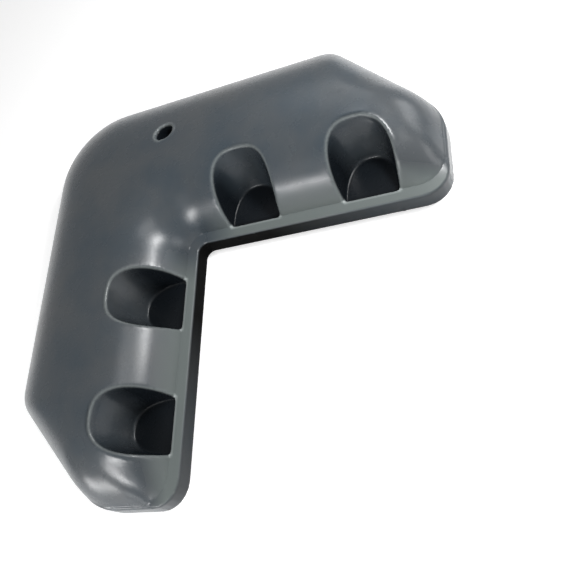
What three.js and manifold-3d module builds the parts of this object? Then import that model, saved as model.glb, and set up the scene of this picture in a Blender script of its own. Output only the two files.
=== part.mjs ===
// Dock corner bumper: one moulded vinyl body with two legs at a right angle.
//
// The inner faces of the legs stand on a flat base and end in a crisp edge with a narrow
// ledge. From the ledge the body swells to a crown and rolls down to the outer side. Four
// D shaped screw pockets are scooped out along the ledge, two in each leg, and a round
// blind recess for the valve sinks into the outer corner.
//
// Units are millimetres. +Z is up and the flat base lies at z = 0. One leg runs along +X
// and the other along +Y. The origin is under the middle of the bounding box.

import * as THREE from 'three';
import { mergeVertices } from 'three/addons/utils/BufferGeometryUtils.js';
import Module from 'manifold-3d';

// Plan of the body, measured from the corner where the two inner faces would meet.
const legLength = 200;
const bodyWidth = 153;
const endCornerCut = 84;
const innerCornerRadius = 7.5;
const outerCornerRadius = 66;
const shoulderRadius = 24;
const endOuterRadius = 44;
const endInnerRadius = 20;

// Section across a leg.
const bodyHeight = 53;
const flangeHeight = 14.3;
const flangeEdgeRadius = 0.9;
const ledgeWidth = 8.4;
const ledgeFall = 1.2;
const crownFromInnerFace = 60.8;
const crownFromEndFace = 59;
const crownWidth = 4;
const slopeStraightness = 0.3;
const outerWallHeight = 5;
const endLedgeWidth = 2.5;
const crownCornerRadius = 26;

// Screw pockets, counted along a leg from the inner corner.
const pockets = [
  { start: 30.3, backLean: THREE.MathUtils.degToRad(14) },
  { start: 123.6, backLean: THREE.MathUtils.degToRad(13.3) },
];
const pocketWidth = 40.5;
const pocketDepth = 34.3;
const pocketFloorDrop = 1.6;
const pocketFloorFillet = 1.3;
const pocketSideLean = THREE.MathUtils.degToRad(9);
const pocketFloorRoundness = 2.4;
const pocketMouthRoundness = 2.8;

// Small pointed mark in each pocket floor, where the screw goes in.
const screwMarkFromLedge = 12.5;
const screwMarkRadius = 1.9;
const screwMarkDepth = 1.4;

// Valve recess in the outer corner.
const valveAlongX = -89;
const valveAlongY = -18.4;
const valveRadius = 8;
const valveMouthRounding = 1.2;
const valveDepth = 11;
const valveFloorFillet = 2;
const valveTilt = THREE.MathUtils.degToRad(14);
const valveClearAbove = 12;

// Fineness of the faceted surface.
const crownSteps = 22;
const archSteps = 32;
const valveSteps = 36;

const vinylColour = 0x5f6468;

// Height of the foot of the slope, where the ledge begins its fall to the flange.
const ledgeTop = flangeHeight + ledgeFall;

const wasm = await Module();
wasm.setup();

// The share of its full inset that a rounded flank has reached at a share of its height.
function quarterRound(share) {
  const clamped = THREE.MathUtils.clamp(share, 0, 1);
  return 1 - Math.sqrt(1 - clamped * clamped);
}

function shareBetween(low, high, z) {
  return (z - low) / (high - low);
}

// Insets of the four kinds of side at height z. The inner faces and the ends carry a ledge
// on top of their flange. It falls outwards a little, and the slope above it is partly
// straight, so that its foot leans back. The outer sides start to curve just above the base.
function insetsAt(z, onLedge) {
  const crownHalf = crownWidth / 2;
  const climb = THREE.MathUtils.clamp(shareBetween(ledgeTop, bodyHeight, z), 0, 1);
  const aboveFlange = THREE.MathUtils.lerp(quarterRound(climb), climb, slopeStraightness);
  const aboveOuterWall = quarterRound(shareBetween(outerWallHeight, bodyHeight, z));
  const innerReach = crownFromInnerFace - crownHalf - ledgeWidth;
  const endReach = crownFromEndFace - endLedgeWidth;
  const outerReach = bodyWidth - crownFromInnerFace - crownHalf;
  const cutLine = legLength + bodyWidth - endCornerCut;
  const crownCutLine = legLength - crownFromEndFace + crownFromInnerFace + crownHalf / 2;
  const cutReach = (cutLine - crownCutLine) * Math.SQRT1_2;
  const rounding = onLedge ? 1 : 0;
  return {
    inner: rounding * ledgeWidth + aboveFlange * innerReach,
    end: rounding * endLedgeWidth + aboveFlange * endReach,
    outer: aboveOuterWall * outerReach,
    cut: aboveOuterWall * cutReach,
    share: aboveOuterWall,
  };
}

// Height and insets of every outline in the stack, from the base up to the crown.
function bodyLevels() {
  const levels = [];
  for (const z of [0, outerWallHeight, (outerWallHeight + flangeHeight) / 2, flangeHeight - flangeEdgeRadius]) {
    levels.push({ z, ...insetsAt(z, false) });
  }
  for (const turn of [Math.PI / 4, Math.PI / 2]) {
    const z = flangeHeight - flangeEdgeRadius * (1 - Math.sin(turn));
    const rounded = insetsAt(z, false);
    const pulledIn = flangeEdgeRadius * (1 - Math.cos(turn));
    rounded.inner += pulledIn;
    rounded.end += pulledIn;
    levels.push({ z, ...rounded });
  }
  levels.push({ z: ledgeTop, ...insetsAt(ledgeTop, true) });
  for (let step = 1; step <= crownSteps; step += 1) {
    const climb = Math.sin((step / crownSteps) * (Math.PI / 2));
    const z = ledgeTop + (bodyHeight - ledgeTop) * climb;
    levels.push({ z, ...insetsAt(z, true) });
  }
  return levels;
}

// The straight sides of the plan, each as a line n.x * x + n.y * y = distance.
function planSides(level) {
  const diagonal = Math.SQRT1_2;
  const cutDistance = (legLength + bodyWidth - endCornerCut) * diagonal - level.cut;
  const outerDistance = bodyWidth - level.outer;
  const endDistance = legLength - level.end;
  return [
    { n: new THREE.Vector2(0, 1), distance: -level.inner },
    { n: new THREE.Vector2(1, 0), distance: -level.inner },
    { n: new THREE.Vector2(0, 1), distance: endDistance },
    { n: new THREE.Vector2(-diagonal, diagonal), distance: cutDistance },
    { n: new THREE.Vector2(-1, 0), distance: outerDistance },
    { n: new THREE.Vector2(0, -1), distance: outerDistance },
    { n: new THREE.Vector2(diagonal, -diagonal), distance: cutDistance },
    { n: new THREE.Vector2(1, 0), distance: endDistance },
  ];
}

// Corner radii in the order of the corners, which follow the sides above.
function cornerRadii(level) {
  const towardsCrown = (radius, crownRadius) => THREE.MathUtils.lerp(radius, crownRadius, level.share);
  const endOuter = towardsCrown(endOuterRadius, crownWidth / 4);
  const endInner = towardsCrown(endInnerRadius, crownWidth / 4);
  const shoulder = towardsCrown(shoulderRadius, crownWidth / 4);
  return [
    innerCornerRadius + level.inner,
    endInner,
    endOuter,
    shoulder,
    towardsCrown(outerCornerRadius, crownCornerRadius),
    shoulder,
    endOuter,
    endInner,
  ];
}

const cornerSteps = [12, 6, 10, 7, 18, 7, 10, 6];

function crossing(a, b) {
  const det = a.n.x * b.n.y - a.n.y * b.n.x;
  return new THREE.Vector2(
    (a.distance * b.n.y - b.distance * a.n.y) / det,
    (a.n.x * b.distance - b.n.x * a.distance) / det,
  );
}

// One closed outline, with every corner rounded by the same number of points on each level.
function planOutline(level) {
  const sides = planSides(level);
  const corners = sides.map((side, i) => crossing(side, sides[(i + 1) % sides.length]));
  const radii = cornerRadii(level);
  const points = [];
  corners.forEach((corner, i) => {
    const before = corners[(i + corners.length - 1) % corners.length].clone().sub(corner);
    const after = corners[(i + 1) % corners.length].clone().sub(corner);
    const room = 0.45 * Math.min(before.length(), after.length());
    before.normalize();
    after.normalize();
    const halfAngle = Math.acos(THREE.MathUtils.clamp(before.dot(after), -1, 1)) / 2;
    const tangent = Math.min(radii[i] / Math.tan(halfAngle), room);
    const radius = tangent * Math.tan(halfAngle);
    const middle = before.clone().add(after).normalize();
    const centre = corner.clone().addScaledVector(middle, radius / Math.sin(halfAngle));
    const start = corner.clone().addScaledVector(before, tangent).sub(centre);
    const end = corner.clone().addScaledVector(after, tangent).sub(centre);
    const sweep = Math.atan2(start.x * end.y - start.y * end.x, start.dot(end));
    for (let step = 0; step <= cornerSteps[i]; step += 1) {
      const turned = start.clone().rotateAround(new THREE.Vector2(), (sweep * step) / cornerSteps[i]);
      points.push(turned.add(centre));
    }
  });
  return points;
}

// A closed skin through a stack of outlines with equal numbers of points, capped flat.
function loftGeometry(rings) {
  const count = rings[0].length;
  const positions = rings.flat().flatMap((point) => [point.x, point.y, point.z]);
  const indices = [];
  for (let ring = 0; ring + 1 < rings.length; ring += 1) {
    for (let i = 0; i < count; i += 1) {
      const next = (i + 1) % count;
      const low = ring * count;
      const high = low + count;
      indices.push(low + i, low + next, high + next);
      indices.push(low + i, high + next, high + i);
    }
  }
  const flat = (ring) => ring.map((point) => new THREE.Vector2(point.x, point.y));
  const top = (rings.length - 1) * count;
  for (const [a, b, c] of THREE.ShapeUtils.triangulateShape(flat(rings[0]), [])) {
    indices.push(a, c, b);
  }
  for (const [a, b, c] of THREE.ShapeUtils.triangulateShape(flat(rings[rings.length - 1]), [])) {
    indices.push(top + a, top + b, top + c);
  }
  const geometry = new THREE.BufferGeometry();
  geometry.setAttribute('position', new THREE.Float32BufferAttribute(positions, 3));
  geometry.setIndex(indices);
  return geometry;
}

function toSolid(geometry) {
  const bare = geometry.clone();
  bare.deleteAttribute('normal');
  bare.deleteAttribute('uv');
  const merged = mergeVertices(bare, 1e-4);
  const mesh = new wasm.Mesh({
    numProp: 3,
    vertProperties: new Float32Array(merged.attributes.position.array),
    triVerts: new Uint32Array(merged.index.array),
  });
  return new wasm.Manifold(mesh);
}

function toGeometry(solid) {
  const mesh = solid.getMesh();
  const geometry = new THREE.BufferGeometry();
  geometry.setAttribute('position', new THREE.BufferAttribute(new Float32Array(mesh.vertProperties), 3));
  geometry.setIndex(new THREE.BufferAttribute(new Uint32Array(mesh.triVerts), 1));
  geometry.computeVertexNormals();
  return geometry;
}

function moulding() {
  const rings = bodyLevels().map((level) =>
    planOutline(level).map((point) => new THREE.Vector3(point.x, point.y, level.z)));
  return loftGeometry(rings);
}

// The void of one pocket in its own frame: x along the leg from the pocket's middle, y away
// from the ledge into the body. The side on the ledge stays straight while the arch behind
// it widens with height and turns squarer.
function pocketVoid(backLean) {
  const floor = flangeHeight - pocketFloorDrop;
  const mouth = bodyHeight + pocketFloorFillet;
  const levels = [];
  for (const turn of [0, Math.PI / 6, Math.PI / 3, Math.PI / 2]) {
    const z = floor + pocketFloorFillet * (1 - Math.cos(turn));
    levels.push({ z, pulledIn: pocketFloorFillet * (1 - Math.sin(turn)) });
  }
  levels.push({ z: mouth, pulledIn: 0 });
  const rings = levels.map(({ z, pulledIn }) => {
    const half = pocketWidth / 2 + (z - floor) * Math.tan(pocketSideLean) - pulledIn;
    const depth = pocketDepth + (z - floor) * Math.tan(backLean) - pulledIn;
    const climb = shareBetween(floor, mouth, z);
    const power = 2 / THREE.MathUtils.lerp(pocketFloorRoundness, pocketMouthRoundness, climb);
    const ring = [];
    for (let step = 0; step <= archSteps; step += 1) {
      const angle = (Math.PI * step) / archSteps;
      const across = Math.sign(Math.cos(angle)) * Math.abs(Math.cos(angle)) ** power;
      const away = Math.abs(Math.sin(angle)) ** power;
      ring.push(new THREE.Vector3(half * across, step % archSteps === 0 ? 0 : depth * away, z));
    }
    return ring;
  });
  return loftGeometry(rings);
}

function screwMark() {
  const mark = new THREE.CylinderGeometry(screwMarkRadius, screwMarkRadius / 4, screwMarkDepth * 2, 16);
  mark.rotateX(Math.PI / 2);
  mark.translate(0, screwMarkFromLedge, flangeHeight - pocketFloorDrop);
  return mark;
}

// Places a pocket tool on the leg along +X, or mirrored across the diagonal on the leg
// along +Y, where swapping two axes needs the triangles turned over.
function onLeg(geometry, legIsAlongX, middle) {
  const placed = geometry.clone();
  const toLegX = new THREE.Matrix4().set(1, 0, 0, middle, 0, -1, 0, -ledgeWidth, 0, 0, 1, 0, 0, 0, 0, 1);
  const toLegY = new THREE.Matrix4().set(0, -1, 0, -ledgeWidth, 1, 0, 0, middle, 0, 0, 1, 0, 0, 0, 0, 1);
  placed.applyMatrix4(legIsAlongX ? toLegX : toLegY);
  if (legIsAlongX) {
    const index = placed.index.array;
    for (let i = 0; i < index.length; i += 3) {
      [index[i + 1], index[i + 2]] = [index[i + 2], index[i + 1]];
    }
  }
  return placed;
}

// Height of the outer flank where the valve sits, worked out from the same quarter round.
function outerFlankHeight(fromOuterFace) {
  const reach = bodyWidth - crownFromInnerFace - crownWidth / 2;
  const left = THREE.MathUtils.clamp(1 - fromOuterFace / reach, 0, 1);
  return outerWallHeight + (bodyHeight - outerWallHeight) * Math.sqrt(1 - left * left);
}

// Blind round recess, turned about its own axis, with a rounded mouth and floor corner.
function valveVoid() {
  const profile = [new THREE.Vector2(0, -valveDepth)];
  for (const turn of [0, Math.PI / 6, Math.PI / 3, Math.PI / 2]) {
    profile.push(new THREE.Vector2(
      valveRadius - valveFloorFillet * (1 - Math.sin(turn)),
      -valveDepth + valveFloorFillet * (1 - Math.cos(turn)),
    ));
  }
  for (const turn of [0, Math.PI / 6, Math.PI / 3, Math.PI / 2]) {
    profile.push(new THREE.Vector2(
      valveRadius + valveMouthRounding * (1 - Math.cos(turn)),
      -valveMouthRounding + valveMouthRounding * Math.sin(turn),
    ));
  }
  profile.push(new THREE.Vector2(valveRadius + valveMouthRounding, valveClearAbove));
  profile.push(new THREE.Vector2(0, valveClearAbove));
  const recess = new THREE.LatheGeometry(profile, valveSteps);
  recess.rotateX(Math.PI / 2);
  const outwards = new THREE.Vector3(-1, -1, 0).normalize();
  const hingeLine = new THREE.Vector3(0, 0, 1).cross(outwards);
  recess.applyMatrix4(new THREE.Matrix4().makeRotationAxis(hingeLine, valveTilt));
  const surface = outerFlankHeight(bodyWidth + Math.min(valveAlongX, valveAlongY));
  recess.translate(valveAlongX, valveAlongY, surface);
  return recess;
}

function bumperBody() {
  let solid = toSolid(moulding());
  for (const { start, backLean } of pockets) {
    const middle = start + pocketWidth / 2;
    for (const legIsAlongX of [true, false]) {
      solid = solid.subtract(toSolid(onLeg(pocketVoid(backLean), legIsAlongX, middle)));
      solid = solid.subtract(toSolid(onLeg(screwMark(), legIsAlongX, middle)));
    }
  }
  solid = solid.subtract(toSolid(valveVoid()));
  return toGeometry(solid);
}

const vinyl = new THREE.MeshStandardMaterial({
  name: 'grey_vinyl',
  color: vinylColour,
  roughness: 0.42,
  metalness: 0,
});

const body = new THREE.Mesh(bumperBody(), vinyl);
body.name = 'bumper_body';
const middleOfBox = (legLength - bodyWidth) / 2;
body.position.set(-middleOfBox, -middleOfBox, 0);

const group = new THREE.Group();
group.add(body);

export default group;
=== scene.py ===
# %% [markdown]
# # A moulded dock corner bumper
# The object is one piece of grey vinyl: two legs at a right angle, a flat base, a crisp
# flange along the inner edges, a swollen body and four D shaped pockets for the screws.
# The solid comes packed with the frame, at its real size. This lesson softens its edges as
# a mould does, gives the vinyl its finish, and sets a plain studio around it.

# %% Load the frame
import math

import bmesh
import bpy
from mathutils import Matrix, Vector
from mathutils.bvhtree import BVHTree
from mathutils.kdtree import KDTree


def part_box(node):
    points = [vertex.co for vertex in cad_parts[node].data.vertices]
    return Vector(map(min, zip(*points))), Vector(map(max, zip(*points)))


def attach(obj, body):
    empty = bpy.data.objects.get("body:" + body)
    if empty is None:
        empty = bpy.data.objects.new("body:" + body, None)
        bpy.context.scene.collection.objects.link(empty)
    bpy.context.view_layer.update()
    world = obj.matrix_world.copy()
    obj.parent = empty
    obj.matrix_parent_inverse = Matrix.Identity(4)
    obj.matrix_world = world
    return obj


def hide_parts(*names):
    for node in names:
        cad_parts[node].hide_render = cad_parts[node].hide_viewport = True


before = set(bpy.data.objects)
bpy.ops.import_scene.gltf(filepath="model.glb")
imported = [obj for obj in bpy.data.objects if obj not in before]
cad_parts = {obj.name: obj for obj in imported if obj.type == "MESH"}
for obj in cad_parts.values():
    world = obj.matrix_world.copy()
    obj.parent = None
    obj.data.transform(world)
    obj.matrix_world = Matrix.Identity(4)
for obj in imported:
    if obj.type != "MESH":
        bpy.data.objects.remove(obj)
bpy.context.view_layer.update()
MM = 0.001
BODY_NODE = "bumper_body"
low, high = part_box(BODY_NODE)
print("body box in mm", [round(v / MM, 1) for v in (*low, *high)])

# %% [markdown]
# ## Where things are on the moulding
# The solid holds the shape, so only a few sizes are repeated here. Small helpers say where
# a point lies: how far it is from the inner faces, the end faces, the side of a pocket and
# the valve. The skin and its marks are steered by these distances, which keeps every zone
# tied to the moulding and not to the numbering of its points.

# %% Sizes of the moulding
LEG_WIDTH = 153 * MM
FLANGE_HEIGHT = 14.3 * MM
LEDGE_TOP = 15.5 * MM
INNER_CORNER_RADIUS = 7.5 * MM
POCKET_STARTS = (30.3 * MM, 123.6 * MM)
POCKET_WIDTH = 40.5 * MM
VALVE_X = -112.5 * MM
VALVE_Y = -41.9 * MM
INNER_X = low.x + LEG_WIDTH
INNER_Y = low.y + LEG_WIDTH
print("inner faces at", round(INNER_X / MM, 1), round(INNER_Y / MM, 1))


def from_inner_face(co):
    """Distance outwards from the inner faces, which meet in a small round corner."""
    beside_x = INNER_X + INNER_CORNER_RADIUS - co.x
    beside_y = INNER_Y + INNER_CORNER_RADIUS - co.y
    if beside_x > 0 and beside_y > 0:
        return math.hypot(beside_x, beside_y) - INNER_CORNER_RADIUS
    return max(beside_x, beside_y) - INNER_CORNER_RADIUS


def from_end_face(co):
    return min(high.x - co.x, high.y - co.y)


def along_leg(co):
    """Distance along the nearer leg, counted from the inner faces."""
    return max(co.x - INNER_X, co.y - INNER_Y)


def beside_pocket(co):
    """Distance along the leg from the nearest pocket, below zero where one lies."""
    along = along_leg(co)
    return min(max(start - along, along - start - POCKET_WIDTH) for start in POCKET_STARTS)


def from_valve(co):
    return math.hypot(co.x - VALVE_X, co.y - VALVE_Y)


# %% [markdown]
# ## The soft skin of the moulding
# A vinyl moulding has no sharp rim: where a pocket cuts the swollen body, the skin turns
# over in a radius of a millimetre or two. A bevel on a cut mesh tends to fold over itself,
# so the solid is copied, remeshed into small even quads, laid back on the solid's surface
# and then relaxed. The flange keeps its crisp edge, the sharpest line on the real part.

# %% Copy and remesh the solid
VOXEL = 1.3 * MM
SAME_POINT = 0.01 * MM


def merged_copy(node, name):
    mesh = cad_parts[node].data.copy()
    mesh.name = name
    mesh.materials.clear()
    bm = bmesh.new()
    bm.from_mesh(mesh)
    bmesh.ops.remove_doubles(bm, verts=bm.verts, dist=SAME_POINT)
    bm.to_mesh(mesh)
    bm.free()
    piece = bpy.data.objects.new(name, mesh)
    bpy.context.scene.collection.objects.link(piece)
    return piece


def apply_modifiers(piece):
    bpy.context.view_layer.update()
    evaluated = piece.evaluated_get(bpy.context.evaluated_depsgraph_get())
    baked = bpy.data.meshes.new_from_object(evaluated)
    piece.modifiers.clear()
    piece.data = baked
    return piece


skin = merged_copy(BODY_NODE, "vinyl_skin")
solid_surface = bmesh.new()
solid_surface.from_mesh(skin.data)
solid_tree = BVHTree.FromBMesh(solid_surface)
remesh = skin.modifiers.new("even_quads", "REMESH")
remesh.mode = "VOXEL"
remesh.voxel_size = VOXEL
apply_modifiers(skin)
print("skin has", len(skin.data.vertices), "points")

# %% [markdown]
# ## The creases of the solid
# Even quads step over a crease and leave a saw edge. So points are laid out closely along
# every crease of the solid, and the skin's points that come near one are put exactly on it.
# The foot of the slope and the rims of the pockets are kept as lists of their own, since
# one has to stay crisp and the other has to be rolled over.

# %% Gather points along the creases
CREASE_ANGLE = math.radians(32)
CREASE_STEP = 0.2 * MM
FOOT_BAND = 0.3 * MM
ABOVE_FLANGE = FLANGE_HEIGHT + 0.2 * MM


def points_along(edge):
    first, last = edge.verts[0].co, edge.verts[1].co
    steps = max(1, round((last - first).length / CREASE_STEP))
    return [first.lerp(last, step / steps) for step in range(steps + 1)]


def tree_of(edges):
    points = [p for e in edges for p in points_along(e)]
    tree = KDTree(len(points))
    for index, point in enumerate(points):
        tree.insert(point, index)
    tree.balance()
    return tree


creases = [e for e in solid_surface.edges if e.calc_face_angle() > CREASE_ANGLE]
foot_creases = [e for e in creases
                if not e.is_convex and all(abs(v.co.z - LEDGE_TOP) < FOOT_BAND for v in e.verts)]
rims = [e for e in creases if e.is_convex and all(v.co.z > ABOVE_FLANGE for v in e.verts)]
crease_tree = tree_of(creases)
foot_tree = tree_of(foot_creases)
rim_tree = tree_of(rims)
print(len(creases), "crease edges,", len(foot_creases), "at the slope's foot,", len(rims), "round the pockets")

# %% [markdown]
# ## Lay the skin on the solid
# The valve recess is only a few quads wide, so the quads round it are halved first. Then
# each point goes to the nearest place on the solid, or on the crease beside it. The base
# is a flat face on a real moulding, and here it becomes one face as well.

# %% Snap the points and merge the base
VALVE_ZONE = 14 * MM
VALVE_ZONE_HEIGHT = 25 * MM
CREASE_REACH = 0.85 * MM
MERGE_REACH = 0.15 * MM
BASE_MARGIN = 0.05 * MM
skin_mesh = bmesh.new()
skin_mesh.from_mesh(skin.data)
valve_edges = [e for e in skin_mesh.edges
               if all(from_valve(v.co) < VALVE_ZONE and v.co.z > VALVE_ZONE_HEIGHT for v in e.verts)]
bmesh.ops.subdivide_edges(skin_mesh, edges=valve_edges, cuts=1, use_grid_fill=True)
for vert in skin_mesh.verts:
    vert.co = solid_tree.find_nearest(vert.co)[0]
    point, _, away = crease_tree.find(vert.co)
    if away < CREASE_REACH:
        vert.co = point
bmesh.ops.dissolve_degenerate(skin_mesh, edges=skin_mesh.edges, dist=MERGE_REACH)
base_faces = [f for f in skin_mesh.faces if all(v.co.z < BASE_MARGIN for v in f.verts)]
bmesh.ops.dissolve_faces(skin_mesh, faces=base_faces, use_verts=True)
open_edges = sum(1 for e in skin_mesh.edges if not e.is_manifold)
print("skin has", len(skin_mesh.verts), "points once the base is one face,", open_edges, "open edges")
solid_surface.free()

# %% [markdown]
# ## Relax the skin zone by zone
# Hot vinyl flows over a rim and fills a mitre, and smoothing does much the same to a mesh.
# A few passes roll the rims over. More passes follow further away from the creases, each
# zone inside the one before it. The mitres at the leg ends get the most, because there the
# real part is a plain dome. The last passes push the skin out again as far as they pull it
# in, so they take out ripples and keep the broad shape.

# %% Relax
RIM_PASSES = 6
KEPT_FOOT = 1 * MM
KEPT_VALVE = 12 * MM
LIP_INWARDS = (6.5 * MM, 12 * MM)
LIP_BESIDE = 1 * MM
LIP_BELOW = 0.5 * MM
FIELD_PASSES = 10
FIELD_MARGINS = (2.5 * MM, 4 * MM, 6 * MM)
FIELD_HEIGHT = LEDGE_TOP + 1 * MM
RIDGE_PASSES = 70
RIDGE_HALF_WIDTHS = (26 * MM, 19 * MM, 12 * MM)
RIDGE_REACH = 80 * MM
RIDGE_HEIGHT = LEDGE_TOP + 0.5 * MM
RIDGE_FROM_RIM = 4 * MM
RIDGE_FROM_FOOT = 1.5 * MM
END_PASSES = 40
END_HEIGHT = 19 * MM
END_REACH = 85 * MM
END_FROM_RIM = 5 * MM
PULL = 0.5
PUSH_BACK = 0.51
from_crease = {v: crease_tree.find(v.co)[2] for v in skin_mesh.verts}
from_foot = {v: foot_tree.find(v.co)[2] for v in skin_mesh.verts}
from_rim = {v: rim_tree.find(v.co)[2] for v in skin_mesh.verts}


def relax(passes, wanted, factors=(PULL,)):
    chosen = [v for v in skin_mesh.verts if wanted(v)]
    for _ in range(passes):
        for factor in factors:
            bmesh.ops.smooth_vert(skin_mesh, verts=chosen, factor=factor,
                                  use_axis_x=True, use_axis_y=True, use_axis_z=True)
    print("relaxed", len(chosen), "points", passes, "times")


def on_pocket_lip(co):
    """The edge between the ledge and the floor of a pocket."""
    nearest, furthest = LIP_INWARDS
    beside = beside_pocket(co) < LIP_BESIDE
    return beside and nearest < from_inner_face(co) < furthest and co.z > FLANGE_HEIGHT - LIP_BELOW


def on_slope_or_lip(v):
    """The whole upper skin, apart from the foot of the slope and the valve."""
    on_slope = v.co.z > LEDGE_TOP and from_foot[v] > KEPT_FOOT and from_valve(v.co) > KEPT_VALVE
    return on_slope or on_pocket_lip(v.co)


def on_end_ridge(v, half_width):
    """The mitre where the slope of a leg meets the slope of its end."""
    from_end, inwards = from_end_face(v.co), from_inner_face(v.co)
    near_mitre = abs(from_end - inwards) < half_width and max(from_end, inwards) < RIDGE_REACH
    clear = from_rim[v] > RIDGE_FROM_RIM and from_foot[v] > RIDGE_FROM_FOOT
    return near_mitre and v.co.z > RIDGE_HEIGHT and clear


def on_end_dome(v):
    return v.co.z > END_HEIGHT and from_rim[v] > END_FROM_RIM and from_end_face(v.co) < END_REACH


relax(RIM_PASSES, on_slope_or_lip)
for margin in FIELD_MARGINS:
    relax(FIELD_PASSES, lambda v: v.co.z > FIELD_HEIGHT and from_crease[v] > margin)
for half_width in RIDGE_HALF_WIDTHS:
    relax(RIDGE_PASSES, lambda v: on_end_ridge(v, half_width))
relax(END_PASSES, on_end_dome, (PULL, -PUSH_BACK))

# %% [markdown]
# ## The lip of the valve, the crisp foot and the flash nicks
# The mould leaves a low lip round the valve recess. The foot of the slope is a sharp inner
# edge, so its edges are marked sharp, and the smooth shading stops there. A few tiny nicks
# of flash stand up where the halves of the mould met. They are a point or two wide.

# %% Raise the lip and mark the foot
VALVE_LIP_RADIUS = 9.4 * MM
VALVE_LIP_HALF = 1.2 * MM
VALVE_LIP_RISE = 0.5 * MM
VALVE_LIP_HEIGHT = 40 * MM
FACING_UP = 0.6
ON_FOOT = 0.05 * MM
skin_mesh.normal_update()
for vert in skin_mesh.verts:
    off_ring = abs(from_valve(vert.co) - VALVE_LIP_RADIUS) / VALVE_LIP_HALF
    if off_ring < 1 and vert.co.z > VALVE_LIP_HEIGHT and vert.normal.z > FACING_UP:
        vert.co += vert.normal * VALVE_LIP_RISE * (1 - off_ring ** 2)
on_foot = {v for v in skin_mesh.verts if foot_tree.find(v.co)[2] < ON_FOOT}
sharp_edges = [e for e in skin_mesh.edges if e.verts[0] in on_foot and e.verts[1] in on_foot]
for edge in sharp_edges:
    edge.smooth = False
print(len(sharp_edges), "edges kept crisp")

# %% Raise the flash nicks
# Each nick has its place on the solid and how far it rises there.
NICK_REACH = 1.5 * MM
OUTWARDS = Vector((1, 0, 0))
UPWARDS = Vector((0, 0, 1))
FLASH_NICKS = (
    (Vector((-23.5, 10.1, 9.0)) * MM, OUTWARDS * 0.6 * MM),
    (Vector((-23.5, 25.2, 11.6)) * MM, OUTWARDS * 0.6 * MM),
    (Vector((-23.5, 139.4, 1.0)) * MM, OUTWARDS * 0.8 * MM),
    (Vector((-30.4, 174.1, 14.4)) * MM, UPWARDS * 0.4 * MM),
    (Vector((166.4, -26.6, 14.4)) * MM, UPWARDS * 0.4 * MM),
)
nicked = set()
for place, rise in FLASH_NICKS:
    for vert in skin_mesh.verts:
        away = (vert.co - place).length / NICK_REACH
        if away < 1:
            vert.co += rise * (1 - away ** 2)
            nicked.add(vert)
print("raised", len(nicked), "points for the nicks")

# %% [markdown]
# ## Painted light and shade on the skin
# Over the clouds of the vinyl, each zone gets a tone of painted light and shade. The ledge is painted
# lighter, the rims and pocket lips get a painted highlight, and the screw pockets and the upright
# inner faces are painted nearly black as painted shade. Each zone is a number from 0 to 1 at every
# point of the skin. The material reads these numbers, so the zones hold in every view.

# %% Mark the zones
POCKET_DEPTH = 34.3 * MM
POCKET_BACK_LEAN = math.radians(13.7)
POCKET_SIDE_LEAN = math.radians(9)
POCKET_FLOOR = 12.7 * MM
POCKET_ROUNDNESS = 2.6
LEDGE_WIDTH = 8.4 * MM
BEFORE_POCKET = -0.02
FAR_OUTSIDE = 2.0
PAINTED_SHADE_FADE = 0.2
LIT_WALL_SHARE = 0.62
LIT_WALL_FACING = (0.3, 0.9)
BAND_BELOW_EDGE = 0.3 * MM
BAND_INWARDS = (14 * MM, 0.6 * MM)
BAND_FROM_END = (-70 * MM, 140 * MM)
LEDGE_RISE = 0.4 * MM
LEDGE_ALONG = (8 * MM, 34 * MM)
LEDGE_INWARDS = (20 * MM, 9 * MM)
RIM_HIGHLIGHT_REACH = (2.0 * MM, 0.6 * MM)
RIM_HIGHLIGHT_LOW = LEDGE_TOP + 0.6 * MM
RIM_HIGHLIGHT_HIGH_SHARE = 0.3
VALVE_HOLE_RADIUS = 8.1 * MM
VALVE_HOLE_HEIGHT = 30 * MM
NICK_GLINT_HEIGHT = 3 * MM


def pocket_share(co):
    """1 on the wall of the nearest pocket, less inside its void and more outside it."""
    above = co.z - POCKET_FLOOR
    half = POCKET_WIDTH / 2 + above * math.tan(POCKET_SIDE_LEAN)
    depth = POCKET_DEPTH + above * math.tan(POCKET_BACK_LEAN)
    across = (beside_pocket(co) + POCKET_WIDTH / 2) / half
    away = (from_inner_face(co) - LEDGE_WIDTH) / depth
    if away < BEFORE_POCKET:
        return FAR_OUTSIDE
    return max(0, across) ** POCKET_ROUNDNESS + max(0, away) ** POCKET_ROUNDNESS


def share(value, none, full):
    """0 at the first limit and 1 at the second, straight between them."""
    return min(1, max(0, (value - none) / (full - none)))


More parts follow.
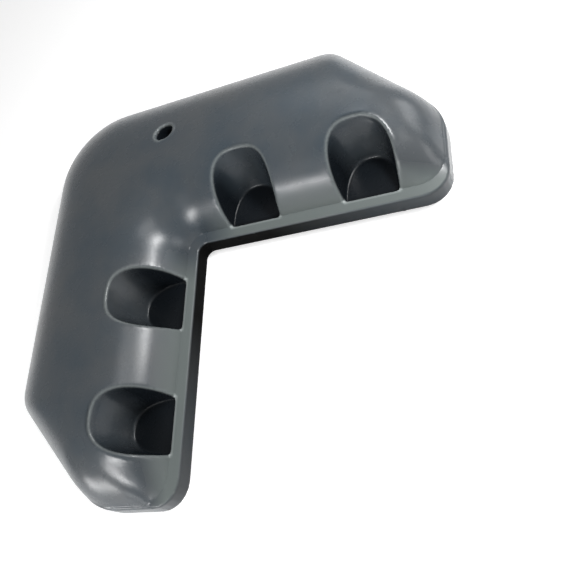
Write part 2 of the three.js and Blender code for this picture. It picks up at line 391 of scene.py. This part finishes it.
pocket_shade_mark = skin_mesh.verts.layers.float.new("pocket_painted_shade")
band_matt_and_shade_mark = skin_mesh.verts.layers.float.new("inner_face_matt_and_painted_shade")
ledge_matt_and_light_mark = skin_mesh.verts.layers.float.new("ledge_matt_and_painted_light")
rim_highlight_mark = skin_mesh.verts.layers.float.new("rim_painted_highlight")
for vert in skin_mesh.verts:
    co = vert.co
    inwards = from_inner_face(co)
    facing = vert.normal.y if co.x > co.y else vert.normal.x
    shaded = 1 - LIT_WALL_SHARE * share(facing, *LIT_WALL_FACING)
    # Painted shade: the pockets are painted nearly black, less so on the walls that face the lamps.
    vert[pocket_shade_mark] = share(pocket_share(co), 1 + PAINTED_SHADE_FADE, 1) * shaded
    # Painted shade: the upright inner faces are painted black, darkest near the inner corner and fading
    # towards the leg ends.
    upright = share(inwards, *BAND_INWARDS) if co.z < FLANGE_HEIGHT - BAND_BELOW_EDGE else 0.0
    vert[band_matt_and_shade_mark] = upright * share(from_end_face(co), *BAND_FROM_END)
    # Painted light: the ledge is painted lighter, but not near the inner corner and not in the pockets.
    above_edge = share(co.z, FLANGE_HEIGHT - LEDGE_RISE, FLANGE_HEIGHT)
    along = share(along_leg(co), *LEDGE_ALONG)
    vert[ledge_matt_and_light_mark] = above_edge * along * share(inwards, *LEDGE_INWARDS) * (1 - vert[pocket_shade_mark])
    # Painted highlight: a light tone along the pocket rims, full on the pocket lips and weaker higher up.
    near_rim = share(rim_tree.find(co)[2], *RIM_HIGHLIGHT_REACH)
    vert[rim_highlight_mark] = near_rim * (1.0 if co.z < RIM_HIGHLIGHT_LOW else RIM_HIGHLIGHT_HIGH_SHARE)
    # Painted shade: the inside of the valve recess gets the same dark tone as the pockets.
    if from_valve(co) < VALVE_HOLE_RADIUS and co.z > VALVE_HOLE_HEIGHT:
        vert[pocket_shade_mark] = 1.0
    # Painted highlight: the flash nicks above the base get the light rim tone as a glint and lose the other
    # zone tones.
    if vert in nicked and co.z > NICK_GLINT_HEIGHT:
        vert[band_matt_and_shade_mark] = 0.0
        vert[ledge_matt_and_light_mark] = 0.0
        vert[rim_highlight_mark] = 1.0
print("marked", sum(1 for v in skin_mesh.verts if v[pocket_shade_mark] > 0.5), "points in the pockets")
skin_mesh.to_mesh(skin.data)
skin_mesh.free()
for polygon in skin.data.polygons:
    polygon.use_smooth = True

# %% [markdown]
# ## Helpers for the materials
# Colours are written as the sRGB hex values that a colour picker shows, and one function
# turns them to the linear values that the renderer works in. A second one adds a node.
# Its inputs are given by name, or by number where a node has several of the same name.

# %% Colour and node helpers
COLOUR_A, COLOUR_B, COLOUR_OUT = 6, 7, 2
NUMBER_A, NUMBER_B, NUMBER_OUT = 2, 3, 0


def linear(hex_colour):
    channels = [int(hex_colour[i:i + 2], 16) / 255 for i in (1, 3, 5)]
    toned = [c / 12.92 if c <= 0.04045 else ((c + 0.055) / 1.055) ** 2.4 for c in channels]
    return (*toned, 1.0)


def add_node(tree, kind, settings=None, inputs=None):
    node = tree.nodes.new(kind)
    for name, value in (settings or {}).items():
        setattr(node, name, value)
    for name, value in (inputs or {}).items():
        if isinstance(value, bpy.types.NodeSocket):
            tree.links.new(value, node.inputs[name])
        else:
            node.inputs[name].default_value = value
    return node


print("a middle grey is", [round(c, 3) for c in linear("#808080")[:3]], "in linear values")

# %% [markdown]
# ## The finish: soft grey vinyl
# The part is moulded in plasticised PVC. It leaves the mould with a satin skin: dark in
# itself, with broad soft highlights, a faint orange peel and cloudy patches where the
# plasticiser has come up. PVC has an IOR of about 1.53, plasticised a little less, and
# there is no metal in it. Over the clouds the zones get painted light and shade: a lighter
# ledge, painted highlights on the rims, and nearly black pockets and inner faces. The gloss
# is even on the body, matt on the ledge, weak in the pockets and nearly gone on the inner
# faces, which darkens them further. The orange peel is drawn at 2 mm, coarser than the real
# one, so that it can show at all.

# %% Vinyl material
CLOUD_SIZE = 55 * MM
CLOUD_TONES = ("#394249", "#474b4e")
# Painted light and shade: a lighter ledge, nearly black pockets, light rims and black inner faces.
PAINTED_LIGHT_AND_SHADE_TONES = (("ledge_matt_and_painted_light", "#5f6665"), ("pocket_painted_shade", "#12161a"), ("rim_painted_highlight", "#a2a9a8"),
              ("inner_face_matt_and_painted_shade", "#040404"))
PATCH_SIZE = 18 * MM
GLOSS_ROUGHNESS = (0.24, 0.3)
LEDGE_ROUGHNESS = 0.6
BAND_ROUGHNESS = 0.85
BODY_SPECULAR = 0.5
POCKET_SPECULAR = 0.2
BAND_SPECULAR = 0.08
PEEL_SIZE = 2.2 * MM
PEEL_DEPTH = 0.12 * MM
PEEL_STRENGTH = 0.12
VINYL_IOR = 1.45


def vinyl_material():
    material = bpy.data.materials.new("moulded_grey_vinyl")
    material.use_nodes = True
    tree = material.node_tree
    shader = tree.nodes["Principled BSDF"]
    place = add_node(tree, "ShaderNodeTexCoord").outputs["Object"]
    marks = {name: add_node(tree, "ShaderNodeAttribute", {"attribute_name": name}).outputs["Fac"]
             for name, _ in PAINTED_LIGHT_AND_SHADE_TONES}

    # The colour: clouds on the body, then the painted light and shade tone of each zone.
    clouds = add_node(tree, "ShaderNodeTexNoise",
                      inputs={"Vector": place, "Scale": 1 / CLOUD_SIZE, "Detail": 4, "Roughness": 0.55})
    spread = add_node(tree, "ShaderNodeMapRange",
                      inputs={"Value": clouds.outputs["Fac"], "From Min": 0.35, "From Max": 0.65})
    toned = add_node(tree, "ShaderNodeMix", {"data_type": "RGBA"},
                     {"Factor": spread.outputs["Result"],
                      COLOUR_A: linear(CLOUD_TONES[0]), COLOUR_B: linear(CLOUD_TONES[1])}).outputs[COLOUR_OUT]
    for name, tone in PAINTED_LIGHT_AND_SHADE_TONES:
        toned = add_node(tree, "ShaderNodeMix", {"data_type": "RGBA"},
                         {"Factor": marks[name], COLOUR_A: toned, COLOUR_B: linear(tone)}).outputs[COLOUR_OUT]
    tree.links.new(toned, shader.inputs["Base Color"])

    # The gloss: satin with faint patches, matt on the ledge and on the inner faces.
    patches = add_node(tree, "ShaderNodeTexNoise",
                       inputs={"Vector": place, "Scale": 1 / PATCH_SIZE, "Detail": 5, "Roughness": 0.6})
    rough = add_node(tree, "ShaderNodeMapRange",
                     inputs={"Value": patches.outputs["Fac"], "From Min": 0.3, "From Max": 0.7,
                             "To Min": GLOSS_ROUGHNESS[0], "To Max": GLOSS_ROUGHNESS[1]}).outputs["Result"]
    for name, roughness in (("ledge_matt_and_painted_light", LEDGE_ROUGHNESS), ("inner_face_matt_and_painted_shade", BAND_ROUGHNESS)):
        rough = add_node(tree, "ShaderNodeMix", {"data_type": "FLOAT"},
                         {"Factor": marks[name], NUMBER_A: rough, NUMBER_B: roughness}).outputs[NUMBER_OUT]
    tree.links.new(rough, shader.inputs["Roughness"])

    # The shine fades where the skin is sheltered. The export leaves this link out.
    shine = BODY_SPECULAR
    for name, level in (("pocket_painted_shade", POCKET_SPECULAR), ("inner_face_matt_and_painted_shade", BAND_SPECULAR)):
        shine = add_node(tree, "ShaderNodeMix", {"data_type": "FLOAT"},
                         {"Factor": marks[name], NUMBER_A: shine, NUMBER_B: level}).outputs[NUMBER_OUT]
    tree.links.new(shine, shader.inputs["Specular IOR Level"])

    peel = add_node(tree, "ShaderNodeTexNoise",
                    inputs={"Vector": place, "Scale": 1 / PEEL_SIZE, "Detail": 2})
    bump = add_node(tree, "ShaderNodeBump",
                    inputs={"Height": peel.outputs["Fac"], "Strength": PEEL_STRENGTH, "Distance": PEEL_DEPTH})
    tree.links.new(bump.outputs["Normal"], shader.inputs["Normal"])
    shader.inputs["IOR"].default_value = VINYL_IOR
    print(material.name, "has", len(tree.nodes), "nodes")
    return material


skin.data.materials.clear()
skin.data.materials.append(vinyl_material())
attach(skin, "root")
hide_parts(BODY_NODE)

# %% [markdown]
# ## Floor and background
# The part lies on a plain white floor, which keeps its soft shadow. The floor gets a small
# lift of light in what the camera and the reflections see, so that its far parts stay
# white too. A floor that shone at full strength would lose the shadow.

# %% Floor
FLOOR_HALF = 3.0
FLOOR_WHITE = "#f8f8f8"
FLOOR_LIFT = 0.42


def white_floor():
    bm = bmesh.new()
    bmesh.ops.create_grid(bm, x_segments=1, y_segments=1, size=FLOOR_HALF)
    mesh = bpy.data.meshes.new("floor")
    bm.to_mesh(mesh)
    bm.free()
    floor = bpy.data.objects.new("floor", mesh)
    bpy.context.scene.collection.objects.link(floor)
    material = bpy.data.materials.new("floor_white")
    material.use_nodes = True
    tree = material.node_tree
    shader = tree.nodes["Principled BSDF"]
    shader.inputs["Base Color"].default_value = linear(FLOOR_WHITE)
    shader.inputs["Roughness"].default_value = 0.9
    shader.inputs["Specular IOR Level"].default_value = 0.1
    rays = add_node(tree, "ShaderNodeLightPath")
    direct = add_node(tree, "ShaderNodeMath", {"operation": "ADD", "use_clamp": True},
                      {0: rays.outputs["Is Camera Ray"], 1: rays.outputs["Is Transmission Ray"]})
    mirrored = add_node(tree, "ShaderNodeMath", {"operation": "ADD", "use_clamp": True},
                        {0: direct.outputs[0], 1: rays.outputs["Is Glossy Ray"]})
    shown = add_node(tree, "ShaderNodeMath", {"operation": "MULTIPLY"},
                     {0: mirrored.outputs[0], 1: FLOOR_LIFT})
    tree.links.new(shown.outputs[0], shader.inputs["Emission Strength"])
    mesh.materials.append(material)
    return floor


white_floor()
print("the floor is", 2 * FLOOR_HALF, "m wide")

# %% [markdown]
# ## The room
# A white room would show in the gloss of the dark pockets and turn them grey. So the room
# is a pale grey in what the camera and the reflections see, and gives only a faint light
# of its own. The lamps do the rest, as in a studio with its walls far away.

# %% World
ROOM_LIGHT = 0.08
ROOM_SEEN = 0.4


def studio_world(ambient, backdrop):
    world = bpy.data.worlds.new("studio")
    bpy.context.scene.world = world
    world.use_nodes = True
    tree = world.node_tree
    tree.nodes.clear()
    rays = add_node(tree, "ShaderNodeLightPath")
    faint = add_node(tree, "ShaderNodeBackground", inputs={"Color": linear("#ffffff"), "Strength": ambient})
    plain = add_node(tree, "ShaderNodeBackground", inputs={"Color": linear("#ffffff"), "Strength": backdrop})
    seen = add_node(tree, "ShaderNodeMath", {"operation": "MAXIMUM"},
                    {0: rays.outputs["Is Camera Ray"], 1: rays.outputs["Is Transmission Ray"]})
    shiny = add_node(tree, "ShaderNodeMath", {"operation": "MAXIMUM"},
                     {0: seen.outputs[0], 1: rays.outputs["Is Glossy Ray"]})
    mixed = add_node(tree, "ShaderNodeMixShader",
                     inputs={0: shiny.outputs[0], 1: faint.outputs[0], 2: plain.outputs[0]})
    add_node(tree, "ShaderNodeOutputWorld", inputs={"Surface": mixed.outputs[0]})
    print("the room gives", ambient, "and shows as", backdrop)


studio_world(ROOM_LIGHT, ROOM_SEEN)

# %% [markdown]
# ## Lamps
# The photograph was lit from the side of the inner angle. A softbox for each leg draws the
# soft highlight along its inner slope, and a small bright one beside it makes the two hot
# spots at the inner corner. They stand near the part, so that each highlight stays on its
# own stretch of the slope. Low lamps reach the two leg ends and the foot of the slopes,
# two glows fill from above, and a weak softbox behind lifts the outer sides.

# %% Area lamps
# Name, azimuth and elevation in degrees, distance in metres, size in metres, brightness.
LAMPS = (
    ("window_softbox", 116.2, 47.9, 0.69, (0.36, 0.2), 4.5),
    ("window_edge", 119, 48, 0.424, (0.12, 0.04), 62),
    ("window_glow", 112, 65, 1.5, (0.6, 0.4), 3.6),
    ("window_sill", 90, 20, 1.3, (0.6, 0.3), 3.2),
    ("side_softbox", -18, 31.3, 0.66, (0.25, 0.13), 13.5),
    ("side_edge", -6, 31, 1.28, (0.66, 0.14), 13),
    ("side_glow", -20, 52, 1.5, (0.6, 0.4), 0.8),
    ("low_strip", -20, 5, 1.3, (0.4, 0.16), 4),
    ("end_lamp_x", -40, 6, 1.3, (0.3, 0.2), 15),
    ("end_lamp_y", 132, 18, 1.3, (0.4, 0.3), 5),
    ("back_softbox", 180, 35, 1.5, (0.8, 0.5), 1.6),
)


def area_lamp(name, azimuth, elevation, distance, size, brightness):
    """A lamp aimed at the part. Brightness 1 is the radiance of a white wall in full light."""
    data = bpy.data.lights.new(name, "AREA")
    data.shape = "RECTANGLE"
    data.size = size[0]
    data.size_y = size[1]
    data.energy = brightness * math.pi * size[0] * size[1]
    lamp = bpy.data.objects.new(name, data)
    bpy.context.scene.collection.objects.link(lamp)
    turned = math.radians(azimuth)
    raised = math.radians(elevation)
    level = math.cos(raised)
    towards = Vector((math.cos(turned) * level, math.sin(turned) * level, math.sin(raised)))
    facing = towards.to_track_quat("Z", "Y").to_matrix().to_4x4()
    lamp.matrix_world = Matrix.Translation(towards * distance) @ facing
    on_floor = brightness * size[0] * size[1] * math.sin(raised) / (math.pi * distance ** 2)
    print(name, "adds", round(on_floor, 2))


for settings in LAMPS:
    area_lamp(*settings)

# %% [markdown]
# ## Camera
# The photograph looks down from the side of the inner angle, a little over half way up to
# the zenith, and is turned about its own axis so that one leg runs down the picture. A
# pinhole with the same field of view stands where the outlines of the legs fall on those
# of the photograph.

# %% Camera
SENSOR = 36.0
LENS = 42.79
CLIP_START = 0.01
CAMERA_PLACE = Vector((234.3, 245.8, 414.2)) * MM
CAMERA_BACK = Vector((0.42116, 0.38977, 0.81896)).normalized()
CAMERA_RIGHT = Vector((-0.02027, 0.90677, -0.42113)).normalized()


def photo_camera():
    data = bpy.data.cameras.new("photo_camera")
    data.sensor_width = SENSOR
    data.lens = LENS
    data.clip_start = CLIP_START
    camera = bpy.data.objects.new("photo_camera", data)
    bpy.context.scene.collection.objects.link(camera)
    up = CAMERA_BACK.cross(CAMERA_RIGHT)
    axes = Matrix((CAMERA_RIGHT, up, CAMERA_BACK)).transposed()
    camera.matrix_world = Matrix.Translation(CAMERA_PLACE) @ axes.to_4x4()
    bpy.context.scene.camera = camera
    print("the camera stands", round(CAMERA_PLACE.length, 3), "m from the middle of the base")


photo_camera()
bpy.context.scene.view_settings.view_transform = "Standard"
